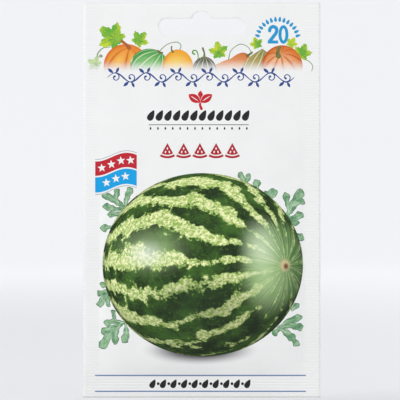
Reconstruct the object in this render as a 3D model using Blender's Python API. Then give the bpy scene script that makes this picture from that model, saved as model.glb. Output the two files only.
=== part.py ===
"""Seed packet with a hang slot, holding one layer of large flat seeds.

Two coated-paper webs are fused together by a heat-seal band: a strip along both sides, a
strip along the bottom, and the whole header, which the hang slot is punched through. The
seeds lie loose in the pouch between the webs, settled at its bottom.

Metres, +Z up. The packet hangs upright and its printed front faces -Y. The origin is where a
display hook bears: at the top of the slot's round rise, midway between the two webs.
"""

import math

import bmesh
import bpy

# Overall size of the sealed packet.
PACKET_WIDTH = 0.090
PACKET_HEIGHT = 0.150

# The sheets that it is made of. The webs and the seal lie flat on each other wherever they
# meet, so a small clearance keeps them apart.
WEB_THICKNESS = 0.00014
SEAL_THICKNESS = 0.00010
SEAL_CLEARANCE = 0.00003

# How wide the fused bands are. The header is fused all over.
SIDE_SEAL_WIDTH = 0.006
BOTTOM_SEAL_HEIGHT = 0.008
HEADER_HEIGHT = 0.026
POUCH_CORNER_RADIUS = 0.003

# The hang slot: a long hole with round ends, and a round rise in the middle of its top edge.
SLOT_LENGTH = 0.0325
SLOT_HEIGHT = 0.0061
SLOT_RISE_HEIGHT = 0.0028
SLOT_RISE_RADIUS = 0.0038
SLOT_BRIDGE = 0.0033

# The seeds, and the room that the webs leave them.
SEED_COUNT = 20
SEED_LENGTH = 0.0100
SEED_WIDTH = 0.0066
SEED_THICKNESS = 0.0022
SEED_TAPER = 0.30
SEED_CLEARANCE = 0.0003
POUCH_SLACK = 0.0008
POUCH_TOE_HEIGHT = 0.016

# How finely curved surfaces are divided.
WEB_COLUMNS = 16
TOE_ROWS = 5
PILE_ROWS = 4
SLOPE_ROWS = 9
ARC_STEPS = 12
SEED_SECTORS = 12
SEED_RINGS = 7

# Places that follow from the sizes above.
PACKET_TOP = SLOT_BRIDGE
PACKET_BOTTOM = PACKET_TOP - PACKET_HEIGHT
POUCH_TOP = PACKET_TOP - HEADER_HEIGHT
POUCH_BOTTOM = PACKET_BOTTOM + BOTTOM_SEAL_HEIGHT
POUCH_HALF_WIDTH = PACKET_WIDTH / 2 - SIDE_SEAL_WIDTH
SEALED_OFFSET = SEAL_THICKNESS / 2 + SEAL_CLEARANCE

# A web stands off the middle far enough for a seed, its clearance and some slack.
SEED_NEEDS = SEED_THICKNESS / 2 + SEED_CLEARANCE
POUCH_STAND_OFF = SEED_NEEDS + POUCH_SLACK
SHARE_NEEDED = SEED_NEEDS / POUCH_STAND_OFF

# The seeds nest like eggs in a tray, whichever way each one points.
SEED_PITCH = SEED_LENGTH + 2 * SEED_CLEARANCE
ROW_PITCH = SEED_PITCH * math.sqrt(3) / 2

# The powers that shape the pouch: how square it is across, and how full its toe is.
ACROSS_POWER = 4
TOE_POWER = 3

CUTTER_HALF_DEPTH = 0.004


def material(name, rgb, roughness):
    """A Principled material in one colour."""
    made = bpy.data.materials.new(name)
    made.use_nodes = True
    shader = made.node_tree.nodes["Principled BSDF"]
    shader.inputs["Base Color"].default_value = (*rgb, 1.0)
    shader.inputs["Roughness"].default_value = roughness
    shader.inputs["Metallic"].default_value = 0.0
    return made


def add_object(name, bm, finish=None):
    """Turns a bmesh into a named object in the scene."""
    mesh = bpy.data.meshes.new(name)
    bm.to_mesh(mesh)
    bm.free()
    obj = bpy.data.objects.new(name, mesh)
    bpy.context.scene.collection.objects.link(obj)
    if finish:
        mesh.materials.append(finish)
    return obj


def arc(centre_x, centre_z, radius, start, end, steps=ARC_STEPS):
    """Points along an arc in the XZ plane, from one angle to another, both ends included."""
    angles = [start + (end - start) * i / steps for i in range(steps + 1)]
    return [(centre_x + radius * math.cos(a), centre_z + radius * math.sin(a)) for a in angles]


def slot_outline():
    """The hang slot's outline, anticlockwise as the front shows it, with its top at z = 0."""
    edge_z = -SLOT_RISE_HEIGHT
    radius = SLOT_HEIGHT / 2
    middle_z = edge_z - radius
    end_x = SLOT_LENGTH / 2 - radius
    rise_centre_z = -SLOT_RISE_RADIUS
    rise_angle = math.asin((edge_z - rise_centre_z) / SLOT_RISE_RADIUS)
    return (
        arc(end_x, middle_z, radius, -math.pi / 2, math.pi / 2)
        + arc(0, rise_centre_z, SLOT_RISE_RADIUS, rise_angle, math.pi - rise_angle)
        + arc(-end_x, middle_z, radius, math.pi / 2, 3 * math.pi / 2)
    )


def pouch_outline():
    """The edge of the unsealed pouch, a rectangle with rounded corners, anticlockwise."""
    radius = POUCH_CORNER_RADIUS
    right = POUCH_HALF_WIDTH - radius
    low, high = POUCH_BOTTOM + radius, POUCH_TOP - radius
    corners = [(right, low, 3), (right, high, 0), (-right, high, 1), (-right, low, 2)]
    points = []
    for x, z, quarter in corners:
        start = quarter * math.pi / 2
        points += arc(x, z, radius, start, start + math.pi / 2, steps=4)
    return points


def prism(name, outline, half_depth, finish=None):
    """An upright outline made a solid that reaches half_depth to the front and to the back."""
    bm = bmesh.new()
    face = bm.faces.new([bm.verts.new((x, -half_depth, z)) for x, z in outline])
    grown = bmesh.ops.extrude_face_region(bm, geom=[face])["geom"]
    moved = [item for item in grown if isinstance(item, bmesh.types.BMVert)]
    bmesh.ops.translate(bm, verts=moved, vec=(0, 2 * half_depth, 0))
    bmesh.ops.recalc_face_normals(bm, faces=bm.faces)
    return add_object(name, bm, finish)


def cutter(name, outline):
    """A solid that only cuts others."""
    obj = prism(name, outline, CUTTER_HALF_DEPTH)
    obj.hide_render = True
    obj.display_type = "WIRE"
    return obj


def cut(obj, tool):
    boolean = obj.modifiers.new("cut " + tool.name, "BOOLEAN")
    boolean.operation = "DIFFERENCE"
    boolean.object = tool


def widest_row():
    """How many seeds fit side by side where the webs stand far enough apart for them."""
    full_share = (1 - SHARE_NEEDED) ** (1 / ACROSS_POWER)
    reach = POUCH_HALF_WIDTH * full_share - SEED_LENGTH / 4
    return int(2 * reach / SEED_PITCH) + 1


def seed_places():
    """Every seed's centre, row by row from the bottom, in rows that nest into each other."""
    wide = widest_row()
    toe_share = 1 - (1 - SHARE_NEEDED) ** (1 / TOE_POWER)
    z = POUCH_BOTTOM + POUCH_TOE_HEIGHT * toe_share + SEED_LENGTH / 4
    places = []
    narrow = True
    while len(places) < SEED_COUNT:
        count = wide - 1 if narrow else wide
        row = [(i - (count - 1) / 2) * SEED_PITCH for i in range(count)]
        kept = sorted(row, key=lambda x: (abs(x), x))[: SEED_COUNT - len(places)]
        places += [(x, z) for x in sorted(kept)]
        z += ROW_PITCH
        narrow = not narrow
    return places


def stand_off(x, z, pile_top):
    """How far a web stands off its sealed place, at a point of the packet."""
    if abs(x) >= POUCH_HALF_WIDTH or not POUCH_BOTTOM < z < POUCH_TOP:
        return 0.0
    across = 1 - (abs(x) / POUCH_HALF_WIDTH) ** ACROSS_POWER
    up = z - POUCH_BOTTOM
    if up < POUCH_TOE_HEIGHT:
        along = 1 - (1 - up / POUCH_TOE_HEIGHT) ** TOE_POWER
    elif z < pile_top:
        along = 1.0
    else:
        fall = (z - pile_top) / (POUCH_TOP - pile_top)
        along = 1 - fall * fall * (3 - 2 * fall)
    return POUCH_STAND_OFF * across * along


def divided(start, end, parts):
    """The ends of a stretch and the places that divide it evenly, without its last end."""
    return [start + (end - start) * i / parts for i in range(parts)]


def make_web(name, side, pile_top, slot, finish):
    """One web, from its flat sealed edges over the swell of the pouch. side is -1 in front."""
    half = PACKET_WIDTH / 2
    columns = [-half, *divided(-POUCH_HALF_WIDTH, POUCH_HALF_WIDTH, WEB_COLUMNS)]
    columns += [POUCH_HALF_WIDTH, half]
    toe_top = POUCH_BOTTOM + POUCH_TOE_HEIGHT
    rows = [PACKET_BOTTOM, *divided(POUCH_BOTTOM, toe_top, TOE_ROWS)]
    rows += divided(toe_top, pile_top, PILE_ROWS)
    rows += divided(pile_top, POUCH_TOP, SLOPE_ROWS) + [POUCH_TOP, PACKET_TOP]

    bm = bmesh.new()
    grid = []
    for z in rows:
        depths = [SEALED_OFFSET + stand_off(x, z, pile_top) for x in columns]
        grid.append([bm.verts.new((x, side * y, z)) for x, y in zip(columns, depths)])
    for below, above in zip(grid, grid[1:]):
        for i in range(len(columns) - 1):
            corners = [below[i], below[i + 1], above[i + 1], above[i]]
            bm.faces.new(corners if side < 0 else corners[::-1])
    web = add_object(name, bm, finish)

    wall = web.modifiers.new("paper", "SOLIDIFY")
    wall.thickness = WEB_THICKNESS
    wall.offset = 1.0
    cut(web, slot)
    web.data.shade_smooth()
    return web


def make_seal(slot, finish):
    """The fused band between the webs: a plate with the pouch and the slot cut out of it."""
    half = PACKET_WIDTH / 2
    edge = [(-half, PACKET_BOTTOM), (half, PACKET_BOTTOM), (half, PACKET_TOP), (-half, PACKET_TOP)]
    band = prism("heat_seal_band", edge, SEAL_THICKNESS / 2, finish)
    cut(band, cutter("pouch_cutter", pouch_outline()))
    cut(band, slot)
    return band


def seed_mesh(finish):
    """A flat seed, blunt at the far end and drawn in towards the end it grew from."""
    bm = bmesh.new()
    bmesh.ops.create_uvsphere(bm, u_segments=SEED_SECTORS, v_segments=SEED_RINGS, radius=1.0)
    for vert in bm.verts:
        vert.co.x *= 1 - SEED_TAPER * vert.co.z
    for axis, size in enumerate((SEED_WIDTH, SEED_THICKNESS, SEED_LENGTH)):
        reach = max(abs(vert.co[axis]) for vert in bm.verts)
        for vert in bm.verts:
            vert.co[axis] *= size / 2 / reach
    mesh = bpy.data.meshes.new("seed")
    bm.to_mesh(mesh)
    bm.free()
    mesh.materials.append(finish)
    mesh.shade_smooth()
    return mesh


def make_seeds(places, finish):
    """The seeds, each turned in the plane of the packet by the golden angle from the last."""
    shape = seed_mesh(finish)
    golden_angle = math.pi * (3 - math.sqrt(5))
    for number, (x, z) in enumerate(places, start=1):
        seed = bpy.data.objects.new(f"seed_{number:02d}", shape)
        seed.location = (x, 0, z)
        seed.rotation_euler = (0, number * golden_angle, 0)
        bpy.context.scene.collection.objects.link(seed)


def main():
    for obj in list(bpy.data.objects):
        bpy.data.objects.remove(obj)

    print_white = material("coated white paper", (0.90, 0.90, 0.89), 0.35)
    back_white = material("coated white paper, back", (0.86, 0.86, 0.84), 0.45)
    sealant = material("fused sealant", (0.80, 0.80, 0.76), 0.50)
    seed_coat = material("seed coat", (0.045, 0.025, 0.015), 0.50)

    places = seed_places()
    pile_top = places[-1][1] + SEED_LENGTH / 2
    slot = cutter("slot_cutter", slot_outline())
    make_web("front_panel", -1, pile_top, slot, print_white)
    make_web("back_panel", 1, pile_top, slot, back_white)
    make_seal(slot, sealant)
    make_seeds(places, seed_coat)


main()
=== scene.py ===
"""Looks of a hanging seed packet: a printed, lacquered paper sachet around its CAD frame.

Metres, +Z up, printed front facing -Y. The print is laid out on its own plate in millimetres:
x from the print's centre line, z up from the packet's bottom edge.
"""

import math

import bmesh
import bpy
import numpy as np
from bpy.props import FloatProperty, FloatVectorProperty, IntProperty, PointerProperty
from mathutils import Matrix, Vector
from mathutils.geometry import delaunay_2d_cdt


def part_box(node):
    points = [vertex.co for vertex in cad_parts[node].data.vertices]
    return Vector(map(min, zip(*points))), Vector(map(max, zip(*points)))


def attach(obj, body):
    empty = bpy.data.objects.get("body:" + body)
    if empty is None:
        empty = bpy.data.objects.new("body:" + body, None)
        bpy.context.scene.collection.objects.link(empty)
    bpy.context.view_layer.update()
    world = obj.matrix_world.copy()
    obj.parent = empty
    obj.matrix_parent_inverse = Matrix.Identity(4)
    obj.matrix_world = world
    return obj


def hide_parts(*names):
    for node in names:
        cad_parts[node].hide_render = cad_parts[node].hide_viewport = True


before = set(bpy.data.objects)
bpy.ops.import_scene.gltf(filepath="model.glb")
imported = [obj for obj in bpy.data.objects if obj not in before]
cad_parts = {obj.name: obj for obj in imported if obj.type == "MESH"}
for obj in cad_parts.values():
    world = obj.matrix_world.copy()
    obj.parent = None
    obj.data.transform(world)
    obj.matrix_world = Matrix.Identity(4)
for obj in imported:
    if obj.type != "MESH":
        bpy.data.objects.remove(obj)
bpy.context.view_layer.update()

bl_info = {
    "name": "Seed packet looks",
    "version": (1, 0, 0),
    "blender": (4, 5, 0),
    "location": "3D View > Sidebar > Seed packet",
    "description": "Printed paper webs, fused band, seeds and stage for a hanging seed packet",
    "category": "Object",
}

MM = 0.001

BAND_LOW, BAND_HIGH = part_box("heat_seal_band")
FRONT_LOW, FRONT_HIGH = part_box("front_panel")
SEEDS = sorted(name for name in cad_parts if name.startswith("seed_"))
PILE_TOP = max(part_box(name)[1].z for name in SEEDS)

WIDTH = BAND_HIGH.x - BAND_LOW.x
HEIGHT = BAND_HIGH.z - BAND_LOW.z
BOTTOM = BAND_LOW.z
TOP = BAND_HIGH.z

# A web's inner face where it is sealed, its paper's thickness, and its outer face at the fullest.
SEALED_INNER = -FRONT_HIGH.y
PAPER_THICKNESS = 0.14 * MM
DEEPEST = -FRONT_LOW.y
SWELL = DEEPEST - SEALED_INNER - PAPER_THICKNESS


def colour(hex_text):
    """An sRGB hex colour as linear red, green and blue, with alpha 1."""
    parts = [int(hex_text[i : i + 2], 16) / 255 for i in (1, 3, 5)]
    linear = [c / 12.92 if c <= 0.04045 else ((c + 0.055) / 1.055) ** 2.4 for c in parts]
    return (*linear, 1.0)


# ---------------------------------------------------------------- sizes and colours to change


def length(text, about, default):
    return FloatProperty(name=text, description=about, default=default, subtype="DISTANCE", unit="LENGTH")


def ink(text, about, hex_text):
    return FloatVectorProperty(
        name=text, description=about, default=colour(hex_text), size=4, subtype="COLOR", min=0, max=1
    )


class PacketShape(bpy.types.PropertyGroup):
    """Sizes of the sachet that the looks follow."""

    side_seal: length("Side seal", "Width of the fused strip along each side", 0.006)
    bottom_seal: length("Bottom seal", "Height of the fused strip along the bottom", 0.008)
    header: length("Header", "Height of the fused header", 0.026)
    toe: length("Toe", "Height over which the pouch fills out above its bottom seal", 0.016)
    pucker: length("Pucker", "How deep the paper puckers beside a seal", 0.00055)
    bow: length("Bow", "How far the flat header and edges bow", 0.0005)
    ripple: length("Edge ripple", "How far the fused side strips ripple", 0.00025)
    print_shift: length("Print shift", "How far the print lies right of the packet's middle", -0.0005)
    pattern_seed: IntProperty(name="Pattern seed", description="Which puckers are made", default=7)


class PacketInks(bpy.types.PropertyGroup):
    """The paper and the inks of the print."""

    paper: ink("Paper", "Bleached, clay-coated paper", "#F4F4F2")
    navy: ink("Navy", "Ink of the scroll under the gourds", "#2F4A8C")
    black: ink("Black", "Ink of the seed borders", "#1E1D20")
    red: ink("Red", "Ink of the sprout", "#C4202B")
    dark_red: ink("Dark red", "Ink of the melon slices", "#AE1F2A")
    sky: ink("Sky", "Ink of the seed count", "#1E96CC")
    rule: ink("Rule", "Ink of the two long rules", "#6F87B0")
    flag_red: ink("Flag red", "Upper band of the flag", "#BE1E2D")
    flag_blue: ink("Flag blue", "Lower band of the flag", "#009FE0")
    flag_line: ink("Flag line", "Fine line above and below the flag", "#A9B2B8")


# ---------------------------------------------------------------- outlines on the plate


def arc(cx, cz, rx, rz, start, end, steps):
    """Points along an elliptical arc between two angles in degrees, both ends included."""
    angles = np.radians(np.linspace(start, end, steps + 1))
    return np.stack([cx + rx * np.cos(angles), cz + rz * np.sin(angles)], axis=1)


def ellipse(cx, cz, rx, rz, steps=40, turn=0.0):
    points = arc(0, 0, rx, rz, 0, 360, steps)[:-1]
    return placed(points, cx, cz, turn)


def placed(points, x, z, turn=0.0, size=1.0):
    """Points turned by an angle in degrees, resized and moved."""
    c, s = math.cos(math.radians(turn)), math.sin(math.radians(turn))
    return np.asarray(points) @ np.array([[c, s], [-s, c]]) * size + (x, z)


def smooth(points, steps=6):
    """A Catmull-Rom curve through the points."""
    p = np.asarray(points, float)
    p = np.vstack([2 * p[0] - p[1], p, 2 * p[-1] - p[-2]])
    t = np.linspace(0, 1, steps, endpoint=False)[:, None]
    found = []
    for a, b, c, d in zip(p, p[1:], p[2:], p[3:]):
        found.append(
            0.5 * (2 * b + (c - a) * t + (2 * a - 5 * b + 4 * c - d) * t**2 + (3 * b - a - 3 * c + d) * t**3)
        )
    return np.vstack([*found, p[-2:-1]])


def stroke(path, widths, steps=6):
    """A pen stroke along a path: its width follows the widths, spread evenly along it."""
    line = smooth(path, steps) if steps else np.asarray(path, float)
    along = np.gradient(line, axis=0)
    along /= np.linalg.norm(along, axis=1)[:, None]
    aside = np.stack([-along[:, 1], along[:, 0]], axis=1)
    half = np.interp(np.linspace(0, 1, len(line)), np.linspace(0, 1, len(widths)), widths)[:, None] / 2
    angle = math.degrees(math.atan2(along[-1, 1], along[-1, 0]))
    first = math.degrees(math.atan2(along[0, 1], along[0, 0]))
    tip = arc(*line[-1], half[-1, 0], half[-1, 0], angle - 90, angle + 90, 6)[1:-1]
    tail = arc(*line[0], half[0, 0], half[0, 0], first + 90, first + 270, 6)[1:-1]
    return np.vstack([line - aside * half, tip, (line + aside * half)[::-1], tail])


def wavy(outline, rise=0.22, waves=2.3):
    """An outline whose edge wanders by a fraction of a millimetre, as a leaf's does."""
    x, z = outline[:, 0], outline[:, 1]
    return outline + rise * np.stack([np.sin(waves * z + x), np.sin(waves * x - z)], axis=1)


def spiral(x, z, radius, turns, start, steps_per_turn=20, tighten=0.8):
    """The path of a tendril that winds in from its outer radius."""
    count = int(abs(turns) * steps_per_turn)
    t = np.linspace(0, 1, count + 1)
    angle = math.radians(start) + 2 * math.pi * turns * t
    r = radius * (1 - tighten * t)
    return np.stack([x + r * np.cos(angle), z + r * np.sin(angle)], axis=1)


def almond(size, width, steps=7):
    """A pointed leaf outline from the origin along +x."""
    t = np.linspace(0, 1, steps + 1)
    half = width / 2 * np.sin(math.pi * t) ** 0.8
    upper = np.stack([size * t, half], axis=1)
    return np.vstack([upper, (upper * (1, -1))[-2:0:-1]])


def vine_leaf(x, z, size, turn):
    """A five-lobed, toothed vine leaf whose stalk joins at the notch, opposite its longest lobe."""
    lobes = ((-128, 0.66), (-64, 0.90), (0, 1.0), (64, 0.90), (128, 0.66))
    points = []
    for angle in np.linspace(-172, 172, 90):
        reach = max(r * (1 - 0.46 * (abs(angle - a) / 34) ** 1.2) for a, r in lobes if abs(angle - a) < 60)
        tooth = 0.05 * (1 - abs((angle / 9.0) % 2 - 1) * 2)
        points.append(polar(max(reach, 0.42) + tooth, angle))
    return placed(points, x, z, turn, size)


def vine_veins(x, z, size, turn):
    veins = []
    for angle, r in ((-128, 0.48), (-64, 0.70), (0, 0.84), (64, 0.70), (128, 0.48)):
        path = placed([(-0.3, 0), polar(0.1, angle), polar(r, angle)], x, z, turn, size)
        veins.append(stroke(path, [0.10 * size, 0.03 * size], 3))
    return veins


def polar(radius, angle):
    return (radius * math.cos(math.radians(angle)), radius * math.sin(math.radians(angle)))


def star(x, z, size, turn=90):
    points = [polar(1 if i % 2 == 0 else 0.42, 36 * i) for i in range(10)]
    return placed(points, x, z, turn, size)


def box_outline(left, low, right, high):
    return np.array([(left, low), (right, low), (right, high), (left, high)], float)


def divided(outline, spacing):
    """A closed outline with points added along every edge longer than a spacing."""
    points = []
    for start, end in zip(outline, np.roll(outline, -1, axis=0)):
        count = max(1, math.ceil(np.linalg.norm(end - start) / spacing))
        points += [start + (end - start) * i / count for i in range(count)]
    return np.array(points)


# ---------------------------------------------------------------- what is printed where

# How far apart the points along a printed edge may be, and along a plain sheet.
PRINT_SPACING = 1.0
PLAIN_SPACING = 2.0

# Where the pictured melon lies: centre, half sizes, and the way its blossom end points
# (right, up, out of the paper).
MELON_CENTRE = (0.9, 50.5)
MELON_RADII = (38.0, 34.7)
MELON_POLE = (0.81, -0.01, 0.586)

# The row of gourds: name, centre, half sizes, tilt, and the way its stem end points.
GOURDS = (
    ("orange pumpkin", (-28.2, 126.0), (8.5, 8.2), 0, (0.10, 0.84, 0.53)),
    ("green melon", (-19.4, 125.8), (7.3, 6.6), 0, (0.55, 0.76, 0.34)),
    ("yellow melon", (-8.6, 125.2), (5.9, 6.9), 0, (-0.35, 0.93, 0.1)),
    ("dark gourd", (1.5, 123.2), (4.8, 6.2), 0, (-0.05, 0.95, 0.3)),
    ("big pumpkin", (31.0, 125.5), (7.8, 8.2), 0, (-0.12, 0.60, 0.79)),
)

# Leaves and round lobes behind the melon. Each lobe is a path from its stalk and its tip's width.
MELON_LEAVES = (
    (((-27.4, 69.8), (-31.0, 74.0), (-36.2, 77.0)), 2.6),
    (((-31.0, 74.0), (-31.9, 76.0), (-31.6, 78.2)), 2.2),
    (((-28.4, 70.6), (-28.0, 75.0), (-26.6, 78.6)), 2.4),
    (((-29.0, 71.6), (-32.5, 71.6), (-35.7, 72.5)), 2.4),
    (((-29.0, 71.0), (-31.6, 69.6), (-34.0, 69.6)), 2.0),
    (((-33.4, 64.4), (-35.2, 64.6), (-36.6, 64.3)), 2.6),
    (((-33.2, 41.4), (-35.2, 42.4), (-37.0, 42.8)), 1.9),
    (((-33.4, 40.6), (-36.2, 40.2), (-38.2, 39.6)), 2.0),
    (((-33.6, 40.4), (-36.2, 38.4), (-38.1, 35.6)), 2.3),
    (((-33.8, 39.6), (-35.0, 37.6), (-35.0, 35.6)), 1.8),
    (((-32.0, 29.6), (-32.9, 31.2), (-32.9, 32.6)), 1.6),
    (((-27.8, 29.4), (-32.4, 26.6), (-37.0, 20.2)), 3.2),
    (((-29.4, 28.6), (-32.4, 29.2), (-35.4, 28.3)), 2.2),
    (((-31.2, 27.4), (-34.0, 26.6), (-36.6, 25.2)), 2.2),
    (((-30.4, 27.6), (-32.0, 24.6), (-32.2, 21.6)), 2.4),
    (((-28.4, 28.2), (-28.0, 25.0), (-28.6, 22.2)), 2.7),
    (((17.0, 81.0), (16.2, 83.0), (15.2, 84.5)), 2.2),
    (((17.4, 81.0), (17.8, 82.8), (18.2, 83.9)), 1.9),
    (((21.8, 79.0), (21.5, 80.4), (21.4, 81.4)), 2.7),
    (((26.0, 75.0), (26.6, 76.4), (27.4, 77.6)), 3.4),
    (((25.6, 75.8), (25.0, 77.2), (25.0, 77.6)), 1.8),
    (((32.2, 67.4), (34.2, 71.6), (37.7, 77.4)), 3.4),
    (((33.4, 70.6), (32.9, 74.0), (32.5, 76.6)), 2.4),
    (((34.4, 72.2), (36.4, 73.6), (38.6, 74.4)), 2.0),
    (((32.6, 67.8), (35.2, 68.2), (37.7, 69.2)), 2.8),
    (((32.4, 67.2), (34.4, 67.0), (36.4, 66.3)), 2.0),
    (((35.6, 62.0), (36.8, 61.6), (37.9, 60.9)), 2.7),
    (((34.6, 33.0), (35.6, 34.4), (36.6, 35.0)), 2.0),
    (((29.0, 26.4), (33.0, 28.8), (37.2, 30.4)), 2.5),
    (((29.6, 26.4), (33.6, 27.4), (37.6, 26.8)), 2.6),
    (((29.6, 26.4), (32.4, 25.0), (34.4, 23.0)), 3.0),
    (((31.6, 25.4), (34.6, 22.6), (36.4, 20.6)), 2.3),
    (((30.6, 27.4), (29.0, 25.4), (28.0, 24.6)), 2.0),
)


def laid(*drawings):
    """A printing plate: every shape of the drawings in the order it is laid down, as (ink, outline)."""
    plate = []

    def lay(name, *outlines):
        plate.extend((name, divided(outline, PRINT_SPACING)) for outline in outlines)

    for drawing in drawings:
        drawing(lay)
    return plate


def lay_gourds(lay):
    """The row of gourds and vine leaves, which fades into the paper at its foot."""
    hair = [0.4, 0.34, 0.3]
    for path, widths in (
        ([(-34.2, 133.0), (-37.0, 132.6), (-39.0, 130.4), (-38.8, 128.8)], [0.3, 0.5, 0.55]),
        ([(-15.6, 131.4), (-12.6, 134.0), (-9.0, 134.9), (-7.4, 133.6), (-8.1, 131.2)], hair),
        ([(10.7, 128.4), (11.6, 131.6), (14.8, 134.0), (17.8, 133.2), (19.6, 130.4)], hair),
        ([(38.8, 128.6), (41.2, 127.6), (42.6, 125.8), (42.2, 123.9)], hair),
    ):
        lay("tendril", stroke(path, widths))
    lay("tendril", ellipse(-37.8, 129.6, 0.75, 0.62, 16))
    for name, x, z, size, turn in (
        ("pale leaf", -39.6, 126.4, 3.6, 150),
        ("vine leaf", -23.4, 135.5, 4.2, 48),
        ("vine leaf", 7.0, 130.9, 4.4, 100),
        ("vine leaf", 21.4, 133.9, 3.1, 110),
        ("vine leaf", 34.4, 134.2, 2.8, 60),
        ("vine leaf", 38.6, 130.4, 4.2, 72),
        ("vine leaf", -32.7, 136.3, 6.8, 142),
    ):
        lay(name, vine_leaf(x, z, size, turn))
        lay("vine vein", *vine_veins(x, z, size, turn))
    squash = [(4.6, 125.6), (8.5, 127.6), (11.4, 128.6), (13.8, 130.2), (16.2, 130.9), (18.3, 130.0),
              (18.8, 127.6), (17.4, 122.6), (10.0, 121.4), (4.6, 121.6)]
    lay("squash", smooth(squash))
    lay("stem", stroke([(17.8, 129.6), (18.6, 130.2), (19.6, 131.0)], [1.1, 0.8, 0.7], 3))
    teardrop = [(23.5, 132.4), (20.4, 130.5), (18.1, 128.6), (16.2, 126.2), (15.6, 122.6), (18.0, 120.6),
                (25.0, 121.4), (25.4, 131.0)]
    lay("stripe gourd", smooth(teardrop))
    for name, centre, radii, tilt, _pole in GOURDS:
        lay(name, ellipse(*centre, *radii, 56, tilt))
    for name, path, widths in (
        ("brown stem", [(-29.8, 135.2), (-28.4, 134.2), (-27.0, 132.7)], [1.1, 1.0, 1.7]),
        ("stem", [(-16.2, 131.6), (-15.2, 130.8), (-14.4, 130.9)], [0.7, 1.1, 0.6]),
        ("stem", [(-10.9, 133.2), (-11.0, 132.2), (-10.5, 131.2)], [0.55, 0.5, 0.9]),
        ("stem", [(1.4, 128.9), (1.5, 130.6), (0.9, 132.6)], [1.1, 0.6, 0.75]),
        ("stem", [(29.6, 129.6), (29.3, 130.9), (30.0, 132.9)], [2.0, 1.3, 1.2]),
    ):
        lay(name, stroke(path, widths, 4))
    curl = [(-0.9, 128.6), (-0.9, 130.2), (-1.6, 131.6), (-2.7, 131.6), (-2.9, 130.7), (-2.2, 130.3)]
    lay("vine vein", stroke(curl, [0.4, 0.5, 0.65]))


def lay_scroll(lay):
    """A navy vine scroll with curls and leaves, in place of a written line."""
    left, middle, swing, half_wave, count = -35.2, 121.5, 1.75, 5.9, 12
    x = np.linspace(left, left + half_wave * count, 9 * count + 1)
    wave = middle + swing * np.sin(math.pi * (x - left) / half_wave)
    lay("navy", stroke(np.stack([x, wave], axis=1), [0.2] + [0.34, 0.62] * count + [0.2], 0))
    for i in range(count):
        up = 1 if i % 2 == 0 else -1
        crest = left + (i + 0.5) * half_wave
        curl = spiral(crest, middle, swing, -0.9 * up, 90 * up, tighten=0.74)
        lay("navy", stroke(curl, [0.55, 0.42, 0.36, 0.42, 0.85], 0))
        lay("navy", placed(almond(2.7, 1.15), crest - 0.8, middle + (swing - 0.1) * up, 140 * up))
        lay("navy", placed(almond(2.3, 1.0), crest + 0.3, middle + swing * up, 64 * up))


def lay_headings(lay):
    """A red sprout, a border of black seeds over a fine rule, and a row of melon slices."""
    lay_sprout(lay, 0, 112)
    lay("black", *row([(-18.6, 107.1), (17.4, 107.1)], 12, 4.4, 2.3, 62, 0.5))
    lay("black", box_outline(-19.6, 103.4, 18.3, 103.65))
    lay("black", *row([(-18.9, 102.2), (17.6, 102.2)], 14, 1.15, 0.6, 90, 0.4))
    for i in range(5):
        lay_slice(lay, -12.5 + i * 6.15, 96.6)


def lay_sprout(lay, x, z):
    """A three-leaved red sprout whose leaves join at a point."""
    lay("red", stroke([(x + 0.4, z - 2.4), (x - 0.1, z - 1.0), (x, z + 0.8)], [1.1, 0.9, 0.9], 4))
    lay("red", placed(almond(3.9, 2.1, 11), x, z + 0.6, 90))
    for side in (1, -1):
        lay("paper", placed(almond(5.7, 3.7, 11), x, z - 0.1, 90 - 55 * side))
        lay("red", placed(almond(5.4, 3.1, 11), x, z, 90 - 56 * side))
        lay("paper", placed(almond(3.7, 0.34, 5), x + 0.75 * side, z + 0.5, 90 - 56 * side))


def lay_slice(lay, x, z):
    """A wedge of melon hanging from its tip: flesh with three pips, a gap and the rind."""
    tip = np.array([(x, z)])
    lay("dark red", np.vstack([tip, arc(x, z, 4.5, 4.5, 241, 299, 14)]))
    lay("dark red", np.vstack([arc(x, z, 5.8, 5.8, 240, 300, 16), arc(x, z, 4.95, 4.95, 300, 240, 16)]))
    for side, drop in ((0, 2.1), (-0.72, 3.4), (0.72, 3.4)):
        lay("paper", ellipse(x + side, z - drop, 0.27, 0.5, 10, 18 * side))


def lay_melon(lay):
    """The fruit with the leaves behind it and the soft shadow under it."""
    for name, stalk, neck, tip in (("leaf edge", 0.7, 0.0, 0.3), ("melon leaf", 0.4, -0.4, -0.2)):
        for path, width in MELON_LEAVES:
            lay(name, wavy(stroke(path, [stalk, width * 0.8 + neck, width + tip], 5)))
    lay("leaf vein", *(stroke(path, [0.36, 0.26, 0.14], 4) for path, width in MELON_LEAVES))
    lay("shadow", ellipse(-0.6, 17.6, 23.5, 6.2, 60))
    lay("melon", ellipse(*MELON_CENTRE, *MELON_RADII, 220))


# The flag's left and right edges, the run of its wave from trough to crest, and the wave's rise.
FLAG_LEFT, FLAG_RIGHT, FLAG_RUN, FLAG_RISE = -39.9, -24.1, 11.6, 3.3


def flag_lift(x):
    return FLAG_RISE * (0.5 - 0.5 * np.cos(math.pi * (x - FLAG_LEFT - 0.4) / FLAG_RUN))


def flag_band(low, high, spread=0.0):
    """A band of the waving flag, between two heights at its trough."""
    x = np.linspace(FLAG_LEFT - spread, FLAG_RIGHT + spread, 33)
    lower, upper = np.stack([x, low + flag_lift(x)], axis=1), np.stack([x, high + flag_lift(x)], axis=1)
    return np.vstack([lower, upper[::-1]])


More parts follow.
